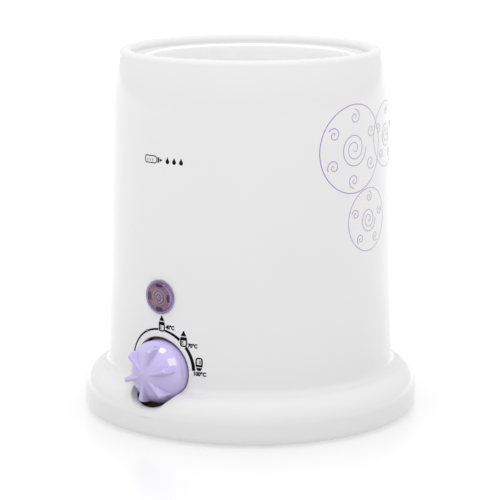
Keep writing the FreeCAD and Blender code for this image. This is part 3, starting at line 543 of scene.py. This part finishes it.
# ---- Inner bowl --------------------------------------------------------------------------------
def inner_bowl():
    """Water well: rolled lip, tapered wall, floor with the opening for the heated plate."""
    lip_r = 42.9
    wall = 1.9
    crown = BOWL_LIP_Z
    flange_z = crown - 7.7
    flange_r = 51.0
    floor_z = BOWL_FLOOR_Z
    under_z = floor_z - 2.4
    opening_r = 29.0
    foot_r = 44.5
    floor_r = 33.4            # the flat floor ends and its rounding to the wall starts
    bend = 4.0
    bend_45 = bend * math.sqrt(0.5)
    steps = [
        (opening_r, under_z),
        (opening_r, floor_z - 0.6),
        ((opening_r + 0.18, floor_z - 0.18), (opening_r + 0.6, floor_z)),
        (floor_r, floor_z),
        ((floor_r + bend_45, floor_z + bend - bend_45), (floor_r + bend, floor_z + bend)),
        (lip_r - wall, crown - wall / 2),
        ((lip_r - wall / 2, crown), (lip_r, crown - wall / 2)),
        (lip_r, flange_z + 2.0),
        (flange_r, flange_z + 2.0),
        (flange_r, flange_z),
        (lip_r - 0.3, flange_z),
        (39.3, floor_z),
        (foot_r, floor_z),
        (foot_r, under_z),
    ]
    bowl = lathe("bowl_body", outline(steps, 3.0, 0.35), 192)
    return finish_piece(smooth(bowl, 40), "housing", bowl_plastic_painted_light, "bowl_white", "inner_bowl")


# ---- Knob --------------------------------------------------------------------------------------
FIN_ANGLES = (12, 72, 132, 192, 252, 312)   # clockwise from the top, seen from the front
DOME_RISE = KNOB_APEX - KNOB_EDGE
DOME_R = (KNOB_R ** 2 + DOME_RISE ** 2) / (2 * DOME_RISE)
DOME_CENTRE = KNOB_APEX - DOME_R
FIN_START = 2.4           # a distance from the knob's axis, like the next two
FIN_LEVEL_TO = 10.0       # the crest reaches its full height here, and drops to the fin's end
FIN_END = 11.1
FIN_TOP = KNOB_APEX - 0.25
FIN_DROP = 2.2            # how far the crest falls at its end
FIN_BLUNT = 0.55          # length of the rounded end
FIN_HALF_MOST = 3.0       # nothing is raised farther than this from a fin's middle line


def ease(value):
    """Smooth step from 0 to 1."""
    value = min(1.0, max(0.0, value))
    return value * value * (3 - 2 * value)


def dome_height(radius):
    return DOME_CENTRE + math.sqrt(DOME_R ** 2 - radius ** 2)


def fin_crest(reach):
    """Height of a fin's top at a distance from the knob's axis."""
    first = dome_height(FIN_START)
    if reach < FIN_LEVEL_TO:
        return first + (FIN_TOP - first) * (reach - FIN_START) / (FIN_LEVEL_TO - FIN_START)
    return FIN_TOP - FIN_DROP * ((reach - FIN_LEVEL_TO) / (FIN_END - FIN_LEVEL_TO)) ** 2.4


def fin_lift(radius, angle):
    """How far the nearest fin raises the dome: a wedge with flat sides and a blunt end."""
    lift = 0.0
    for fin in FIN_ANGLES:
        off = angle - math.radians(90 - fin)
        along = radius * math.cos(off)
        across = abs(radius * math.sin(off))
        if along < FIN_START or across > FIN_HALF_MOST:
            continue
        share = min(1.0, (along - FIN_START) / (FIN_END - FIN_START))
        half = 0.25 + 0.75 * share
        draft = 0.30 + 0.20 * share
        side = min(1.0, max(0.0, (half + draft - across) / draft))
        side = 0.75 * side + 0.25 * ease(side)
        end = ease((FIN_END + FIN_BLUNT - along) / FIN_BLUNT)
        rise = max(0.0, fin_crest(along) - dome_height(radius))
        crown = 1 - 0.10 * min(1.0, across / half) ** 2
        lift = max(lift, rise * side * end * crown)
    return lift


def control_knob():
    """Dome with six grip fins over a hollow skirt."""
    turns = 900
    rings = 100
    angles = [2 * math.pi * k / turns for k in range(turns)]
    edge_r = KNOB_R - 0.22
    edge_z = dome_height(edge_r)
    verts = [(0, 0, KNOB_APEX)]
    for i in range(1, rings + 1):
        radius = edge_r * (i / rings) ** 0.9
        dome = dome_height(radius)
        verts += [(radius * math.cos(a), radius * math.sin(a), dome + fin_lift(radius, a))
                  for a in angles]
    skirt = [(KNOB_R - 0.07, edge_z - 0.3), (KNOB_R, edge_z - 0.7), (KNOB_R, KNOB_EDGE - 2.5),
             (KNOB_R, KNOB_BACK + 0.5), (KNOB_R - 0.15, KNOB_BACK + 0.15), (KNOB_R - 0.5, KNOB_BACK),
             (10.5, KNOB_BACK), (10.3, KNOB_BACK + 0.2), (10.3, KNOB_EDGE - 0.4), (7.5, KNOB_APEX - 4.4),
             (4.0, KNOB_APEX - 2.6)]
    for radius, height in skirt:
        verts += [(radius * math.cos(a), radius * math.sin(a), height) for a in angles]
    verts.append((0, 0, KNOB_APEX - 2.0))
    faces = [(0, 1 + k, 1 + (k + 1) % turns) for k in range(turns)]
    row_gaps = rings + len(skirt) - 1
    for i in range(row_gaps):
        here = 1 + i * turns
        there = here + turns
        faces += [(here + k, there + k, there + (k + 1) % turns, here + (k + 1) % turns)
                  for k in range(turns)]
    last_row = 1 + row_gaps * turns
    faces += [(last_row + k, len(verts) - 1, last_row + (k + 1) % turns) for k in range(turns)]
    knob = to_front(mesh_object("knob_dome", verts, faces), KNOB_Z)
    return finish_piece(smooth(knob, 50), "knob", knob_plastic, "knob_lavender", "control_knob")


# ---- Indicator lens ----------------------------------------------------------------------------
def lens_dome():
    """Clear cap with a chamfered rim and a low dome, seated in the wall's hole."""
    seat = shell_radius(LAMP_Z) - 0.35
    neck_r = 5.4
    neck_end = LENS_BACK - 1.3
    steps = [(0.0, LAMP_APEX), (2.0, LAMP_APEX - 0.08), (4.0, LAMP_APEX - 0.33), (5.2, LAMP_APEX - 0.56),
             (6.1, LAMP_APEX - 0.78), (6.25, LAMP_APEX - 0.86), (LAMP_R, LAMP_APEX - 1.4), (LAMP_R, seat),
             (neck_r + 0.1, seat), (neck_r, LENS_BACK), (neck_r, neck_end), (0.0, neck_end)]
    dome = to_front(lathe("lens_dome", steps, 96, closed=False), LAMP_Z)
    return finish_piece(smooth(dome, 25), "housing", lens_plastic, "lens_purple", "indicator_lens")


def lens_rings():
    """Ring steps in the middle of the lens's back, which spread the lamp's light."""
    pitch = 0.75
    crest = LENS_BACK - 0.05
    rings_end = LENS_BACK - 1.4
    steps = [(0.0, crest)]
    for k in range(1, 5):
        steps += [(pitch * k - 0.45, LENS_BACK - 0.75), (pitch * k, crest)]
    steps += [(LENS_RINGS_R, LENS_BACK - 0.6), (LENS_RINGS_R, rings_end), (0.0, rings_end)]
    rings = to_front(lathe("lens_rings", steps, 72, closed=False), LAMP_Z)
    return finish_piece(smooth(rings, 20), "housing", lens_middle_painted_shading, "lens_purple", "indicator_lens")


def lens_cup():
    """Back of the lens round the rings: it fills the wall's hole."""
    cup_r = LENS_HOLE_R - 0.15
    cup_end = 54.0
    steps = [(LENS_RINGS_R, LENS_BACK - 0.75), (5.35, LENS_BACK - 0.95), (cup_r, LENS_BACK - 1.1),
             (cup_r, cup_end), (5.1, cup_end), (4.9, 55.6), (LENS_RINGS_R, 55.9)]
    cup = to_front(lathe("lens_cup", steps, 72), LAMP_Z)
    return finish_piece(smooth(cup, 20), "housing", lens_back, "lens_purple", "indicator_lens")


def lens_legs():
    """Four snap legs round the lens's back, each with a hook behind the wall."""
    half_width = 1.4
    front = LENS_BACK - 0.2
    section = [(4.0, front), (5.25, front), (5.25, 54.3), (6.2, 54.1), (6.2, 53.2), (5.4, 51.2),
               (4.6, 51.2), (4.6, 55.0), (4.0, 55.6)]
    count = len(section)
    pieces = []
    for k in range(4):
        verts = [(side * half_width, r, depth) for side in (-1, 1) for r, depth in section]
        faces = [tuple(range(count)), tuple(range(count, 2 * count))]
        faces += [(i, (i + 1) % count, (i + 1) % count + count, i + count) for i in range(count)]
        leg = mesh_object("leg", verts, faces)
        leg.data.transform(Matrix.Rotation(math.radians(90 * k), 4, "Z"))
        pieces.append(to_front(leg, LAMP_Z))
    return finish_piece(joined("lens_legs", pieces), "housing", lens_dark, "lens_purple", "indicator_lens")


# ---- Printing on the shell ---------------------------------------------------------------------
def on_wall(along, height, lift):
    """Point on the shell: along is the distance round the wall from the front's middle line."""
    radius = shell_radius(height)
    angle = along / radius
    return ((radius + lift) * math.sin(angle), -(radius + lift) * math.cos(angle), height)


def ribbon(path, widths, closed=False):
    """Thin printed line along (along, height) points; returns vertices and faces."""
    count = len(path)
    verts = []
    for k in range(count):
        before = path[k - 1] if k or closed else path[k]
        after = path[(k + 1) % count] if k < count - 1 or closed else path[k]
        du, dz = after[0] - before[0], after[1] - before[1]
        length = math.hypot(du, dz)
        nu, nz = -dz / length, du / length
        half = widths[k] / 2
        for side, lift in ((1, INK), (-1, INK), (-1, -INK / 2), (1, -INK / 2)):
            verts.append(on_wall(path[k][0] + side * nu * half, path[k][1] + side * nz * half, lift))
    faces = []
    for k in range(count if closed else count - 1):
        here, there = 4 * k, 4 * ((k + 1) % count)
        faces += [(here + i, here + (i + 1) % 4, there + (i + 1) % 4, there + i) for i in range(4)]
    if not closed:
        faces += [(3, 2, 1, 0), tuple(range(4 * count - 4, 4 * count))]
    return verts, faces


def patch(points):
    """Filled print from an outline of (along, height) points; returns vertices and faces."""
    count = len(points)
    verts = [on_wall(u, z, INK) for u, z in points] + [on_wall(u, z, -INK / 2) for u, z in points]
    faces = [tuple(range(count)), tuple(range(2 * count - 1, count - 1, -1))]
    faces += [(k, k + count, (k + 1) % count + count, (k + 1) % count) for k in range(count)]
    return verts, faces


def printed(name, shapes, ink):
    """One piece from several prints."""
    verts = []
    faces = []
    for some_verts, some_faces in shapes:
        base = len(verts)
        verts += some_verts
        faces += [tuple(base + index for index in face) for face in some_faces]
    return finish_piece(mesh_object(name, verts, faces), "housing", ink, None)


def circle_path(u, z, radius, start=0.0, stop=360.0, step=4.0):
    """Points on a circle; angles run clockwise from the top."""
    count = max(6, math.ceil(abs(stop - start) / step))
    angles = [math.radians(start + (stop - start) * k / count) for k in range(count + 1)]
    return [(u + radius * math.sin(a), z + radius * math.cos(a)) for a in angles]


def spiral_path(u, z, radius, turns, start):
    """Points on a spiral that winds in from a radius almost to its centre."""
    count = math.ceil(turns * 40)
    points = []
    for k in range(count):
        reach = radius * (1 - k / count) ** 0.87
        angle = math.radians(start) + 2 * math.pi * turns * k / count
        points.append((u + reach * math.sin(angle), z + reach * math.cos(angle)))
    return points


def tapered(count, first, last):
    """Line widths that change evenly along a path."""
    return [first + (last - first) * k / (count - 1) for k in range(count)]


TEXT_SWELL = 0.058        # makes the digits bolder, in the font's own units
ICON_LINE = 0.58
MARK_HEIGHT = 0.3


def text_shape(words, u, z, width, height):
    """Filled digits centred at a place, fitted to a width and a height."""
    curve = bpy.data.curves.new("digits", "FONT")
    curve.body = words
    curve.resolution_u = 4
    curve.extrude = 0.5
    curve.offset = TEXT_SWELL
    holder = bpy.data.objects.new("digits", curve)
    bpy.context.scene.collection.objects.link(holder)
    graph = bpy.context.evaluated_depsgraph_get()
    mesh = bpy.data.meshes.new_from_object(holder.evaluated_get(graph))
    xs = [v.co.x for v in mesh.vertices]
    ys = [v.co.y for v in mesh.vertices]
    scale_x = width / (max(xs) - min(xs))
    scale_y = height / (max(ys) - min(ys))
    verts = []
    for v in mesh.vertices:
        across = (v.co.x - (max(xs) + min(xs)) / 2) * scale_x
        up = (v.co.y - (max(ys) + min(ys)) / 2) * scale_y
        verts.append(on_wall(u + across, z + up, INK if v.co.z > 0 else -INK / 2))
    faces = [tuple(p.vertices) for p in mesh.polygons]
    bpy.data.objects.remove(holder)
    return verts, faces


def rectangle(left, right, bottom, top):
    return [(left, bottom), (right, bottom), (right, top), (left, top)]


def icon_body(half, open_z, side_z, corner_z, end_z):
    """Outline of a bottle's body, open at one end and with rounded corners at the other."""
    right = [(half, open_z), (half, side_z), (half - 0.2, corner_z), (half - 0.6, end_z)]
    return [(-x, y) for x, y in right] + right[::-1]


def icon(u, z, body, filled, marks_left, marks_right, marks):
    """Bottle at a place: an outline, filled parts and three measuring marks."""
    def place(points):
        return [(u + x, z + y) for x, y in points]

    parts = filled + [rectangle(marks_left, marks_right, mark, mark + MARK_HEIGHT) for mark in marks]
    return [ribbon(place(body), [ICON_LINE] * len(body))] + [patch(place(part)) for part in parts]


def bottle_icon(u, z):
    """Small feeding bottle with its collar and teat on top."""
    collar = [(-1.46, 2.4), (1.46, 2.4), (1.46, 3.2), (1.3, 3.75), (-1.3, 3.75), (-1.46, 3.2)]
    teat = [(-1.2, 4.1), (1.2, 4.1), (0.95, 4.75), (0.5, 5.4), (0.28, 6.1), (-0.28, 6.1), (-0.5, 5.4),
            (-0.95, 4.75)]
    return icon(u, z, icon_body(1.25, 2.6, 0.7, 0.3, 0.15), [collar, teat], -0.85, -0.1, (0.75, 1.3, 1.85))


def jar_icon(u, z):
    """Small bottle stood on its collar, for the hottest setting."""
    collar = rectangle(-1.4, 1.4, 1.5, 2.4)
    cap = [(-0.6, 0), (0.6, 0), (1.1, 0.75), (1.2, 1.2), (-1.2, 1.2), (-1.1, 0.75)]
    return icon(u, z, icon_body(1.2, 2.2, 4.3, 4.75, 4.95), [collar, cap], -0.1, 0.75, (2.75, 3.3, 3.85))


def dial_print():
    """Temperature scale round the knob: a thickening line, a dot, three icons and three temperatures."""
    radius = 15.5
    centre_z = OPENING_Z + 0.7
    dot_r = 0.42
    dot_line = 0.34
    dot_turn = math.radians(-27)
    # Each span: degrees where it starts and stops, clockwise from the top, and its first and last width.
    spans = [
        (-74, -28.5, 0.66, 0.74),
        (-24.5, -3.5, 0.74, 0.80),
        (8.5, 36.5, 0.85, 1.15),
        (50.5, 86.5, 1.2, 1.45),
    ]
    shapes = []
    for start, stop, first, last in spans:
        path = circle_path(0, centre_z, radius, start, stop, 2.0)
        shapes.append(ribbon(path, tapered(len(path), first, last)))
    dot = circle_path(radius * math.sin(dot_turn), centre_z + radius * math.cos(dot_turn), dot_r)[:-1]
    shapes.append(ribbon(dot, [dot_line] * len(dot), closed=True))
    shapes += bottle_icon(0.8, 41.0)
    shapes += bottle_icon(11.0, 36.2)
    shapes += jar_icon(17.7, 27.2)
    digits_height = 1.85
    shapes.append(text_shape("40°C", 4.75, 43.0, 4.1, digits_height))
    shapes.append(text_shape("70°C", 14.9, 36.85, 4.1, digits_height))
    shapes.append(text_shape("100°C", 18.1, 26.0, 5.2, digits_height))
    return printed("dial_print", shapes, black_ink)


def front_mark():
    """Plain maker's-mark stand-in: a bottle lying on its side and three drops."""
    z = LAMP_Z + 53.5
    left = -8.2
    half = 1.35
    body = [(left + 0.5, z - half), (left + 0.15, z - 1.0), (left, z - 0.5), (left, z + 0.5),
            (left + 0.15, z + 1.0), (left + 0.5, z + half), (left + 5.2, z + half), (left + 6.1, z + 0.8),
            (left + 6.1, z - 0.8), (left + 5.2, z - half)]
    shapes = [ribbon(body, [0.4] * len(body), closed=True)]
    shapes.append(patch(rectangle(left + 6.6, left + 7.3, z - 1.05, z + 1.05)))
    teat = [(left + 7.6, z - 0.6), (left + 8.4, z - 0.3), (left + 8.9, z), (left + 8.4, z + 0.3),
            (left + 7.6, z + 0.6)]
    shapes.append(patch(teat))
    for k in range(3):
        mark = left + 1.2 + 1.3 * k
        shapes.append(patch(rectangle(mark, mark + 0.25, z - 0.75, z + 0.3)))
    for k in range(3):
        drop = left + 11.4 + 3.1 * k
        round_part = circle_path(drop, z - 0.35, 0.85, 40, 320, 20)
        shapes.append(patch([(drop, z + 1.45)] + round_part))
    return printed("front_mark", shapes, black_ink)


def ornament():
    """Plain side decoration: three circles, each with a spiral in its middle and curls evenly round it."""
    # Each circle: place round the wall, height, radius, number of curls and line width.
    circles = [
        (81.5, 111.6, 17.2, 6, 0.32),
        (91.2, 82.9, 12.4, 5, 0.27),
        (107.5, 114.5, 13.0, 5, 0.27),
    ]
    shapes = []
    for u, z, radius, curls, width in circles:
        circle = circle_path(u, z, radius, step=3.0)[:-1]
        shapes.append(ribbon(circle, [width] * len(circle), closed=True))
        places = [(u, z, 0.42 * radius, 2.5, 90)]
        away = 0.72 * radius
        for k in range(curls):
            turn = 360 * k / curls
            curl_u = u + away * math.sin(math.radians(turn))
            curl_z = z + away * math.cos(math.radians(turn))
            places.append((curl_u, curl_z, 0.17 * radius, 1.5, turn))
        for centre_u, centre_z, reach, turns, start in places:
            path = spiral_path(centre_u, centre_z, reach, turns, start)
            shapes.append(ribbon(path, tapered(len(path), 0.29, 0.2)))
    return printed("ornament", shapes, ornament_ink())


# ---- Kept CAD pieces: finishes -----------------------------------------------------------------
def dress_frame():
    """Gives every CAD piece that stays its own finish."""
    finishes = {
        base_plastic: ["base_plate"],
        silicone: ["rim_seal", "plate_seal"],
        foot_rubber: ["rubber_feet"],
        bush_rubber: ["cord_bush"],
        zinc: ["bowl_screws", "ring_screws", "bracket_screw", "earth_screw", "heater_nut",
               "fuse_clip_screws", "board_screws", "terminal_screws", "block_screws", "base_screws"],
        plate_metal: ["heating_plate"],
        galvanised: ["plate_clamp_ring", "heater_clamp"],
        tinned: ["earth_tag", "thermal_fuse", "blade_terminal"],
        blued_steel: ["fuse_clip", "knob_spring_clip"],
        cast_case: ["heater_element"],
        phenolic: ["mounting_board"],
        sheet_aluminium: ["thermostat_frame"],
        brass: ["thermostat_bush", "spindle_nut", "stack_rivet", "terminal_sleeves"],
        spindle_metal: ["spindle"],
        ceramic: ["push_pin", "insulator_blocks"],
        bronze: ["contact_blade"],
        bimetal: ["bimetal_strip"],
        nylon: ["lamp_holder", "terminal_block"],
        sleeve: ["spade_connectors"],
        shrink: ["lamp_resistor"],
        bulb_glass: ["neon_bulb"],
        lead_finish["brown"]: ["live_lead", "heater_lead"],
        lead_finish["blue"]: ["fuse_lead", "neutral_lead"],
        lead_finish["green"]: ["earth_lead"],
        lead_finish["white"]: ["lamp_leads"],
    }
    for finish, names in finishes.items():
        for name in names:
            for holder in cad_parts[name].material_slots:
                holder.material = finish


# ---- Stage -------------------------------------------------------------------------------------
def floor():
    """Glossy white light table, brighter away from the part: the dimmer glow near the part is painted
    shade round its foot.
    """
    plane = lathe("floor", [(0, 0), (400, 0), (1500, 0), (9000, 0)], 96, closed=False)
    finish = material("floor_finish", (0.30, 0.30, 0.30), 0.24, vary=0.01, cloud_mm=300.0, grain_mm=2.0,
                      bump_mm=0.001, Emission_Color=(1, 1, 1, 1))
    tree = finish.node_tree
    distance = node(tree, "ShaderNodeVectorMath", operation="LENGTH")
    tree.links.new(tree.nodes["Texture Coordinate"].outputs["Object"], distance.inputs[0])
    # The glow is lower near the part: painted shade round the part's foot.
    glow_with_painted_shade = spread(tree, distance.outputs["Value"], 0.52, 0.78, low_in=70 * MM, high_in=300 * MM)
    tree.links.new(glow_with_painted_shade, tree.nodes["Principled BSDF"].inputs["Emission Strength"])
    plane.data.materials.append(finish)
    smooth(plane)


AIM = Vector((0, 0, 0.05))   # metres: the lights point at this place on the part's axis


def softbox(name, azimuth, elevation, distance, size, watts):
    """Area light. Angles are degrees, azimuth from the front towards +X; distance and size are metres."""
    light = bpy.data.lights.new(name, "AREA")
    light.shape = "RECTANGLE"
    light.size, light.size_y = size
    light.energy = watts
    holder = bpy.data.objects.new(name, light)
    bpy.context.scene.collection.objects.link(holder)
    a, e = math.radians(azimuth), math.radians(elevation)
    toward = Vector((math.sin(a) * math.cos(e), -math.cos(a) * math.cos(e), math.sin(e)))
    holder.location = toward * distance + AIM
    holder.rotation_euler = toward.to_track_quat("Z", "Y").to_euler()
    return holder


def studio(knob):
    """White surroundings, a fill light from above and two softboxes that only light the knob."""
    world = bpy.data.worlds.new("studio")
    world.use_nodes = True
    background = world.node_tree.nodes["Background"]
    background.inputs["Color"].default_value = (1.0, 1.0, 1.0, 1)
    background.inputs["Strength"].default_value = 0.93
    bpy.context.scene.world = world
    fill = softbox("top_fill", 25, 82, 1.6, (1.0, 1.0), 10.0)
    fill.visible_glossy = False
    accents = [softbox("overhead_softbox", -2, 72, 0.9, (0.30, 0.26), 1.5),
               softbox("front_softbox", 61, 34, 0.9, (0.42, 0.42), 2.3)]
    knob_only = bpy.data.collections.new("accents_light_the_knob")
    knob_only.objects.link(knob)
    for accent in accents:
        accent.light_linking.receiver_collection = knob_only


def camera():
    """Long lens, a little above the rim, to the right of the knob. Its places are metres."""
    azimuth = math.radians(37.65)
    away = 0.83223
    height = 0.23469
    target = Vector((0, 0, 0.06378))
    data = bpy.data.cameras.new("camera")
    data.lens = 149.8
    data.sensor_width = 36.0
    data.shift_x = -0.0009
    data.clip_end = 100
    holder = bpy.data.objects.new("camera", data)
    bpy.context.scene.collection.objects.link(holder)
    holder.location = (away * math.sin(azimuth), -away * math.cos(azimuth), height)
    holder.rotation_euler = (holder.location - target).to_track_quat("Z", "Y").to_euler()
    bpy.context.scene.camera = holder


# ---- Everything --------------------------------------------------------------------------------
bpy.context.scene.view_settings.view_transform = "Standard"
camera()
floor()
outer_shell()
inner_bowl()
studio(control_knob())
lens_dome()
lens_rings()
lens_cup()
lens_legs()
dial_print()
front_mark()
ornament()
dress_frame()
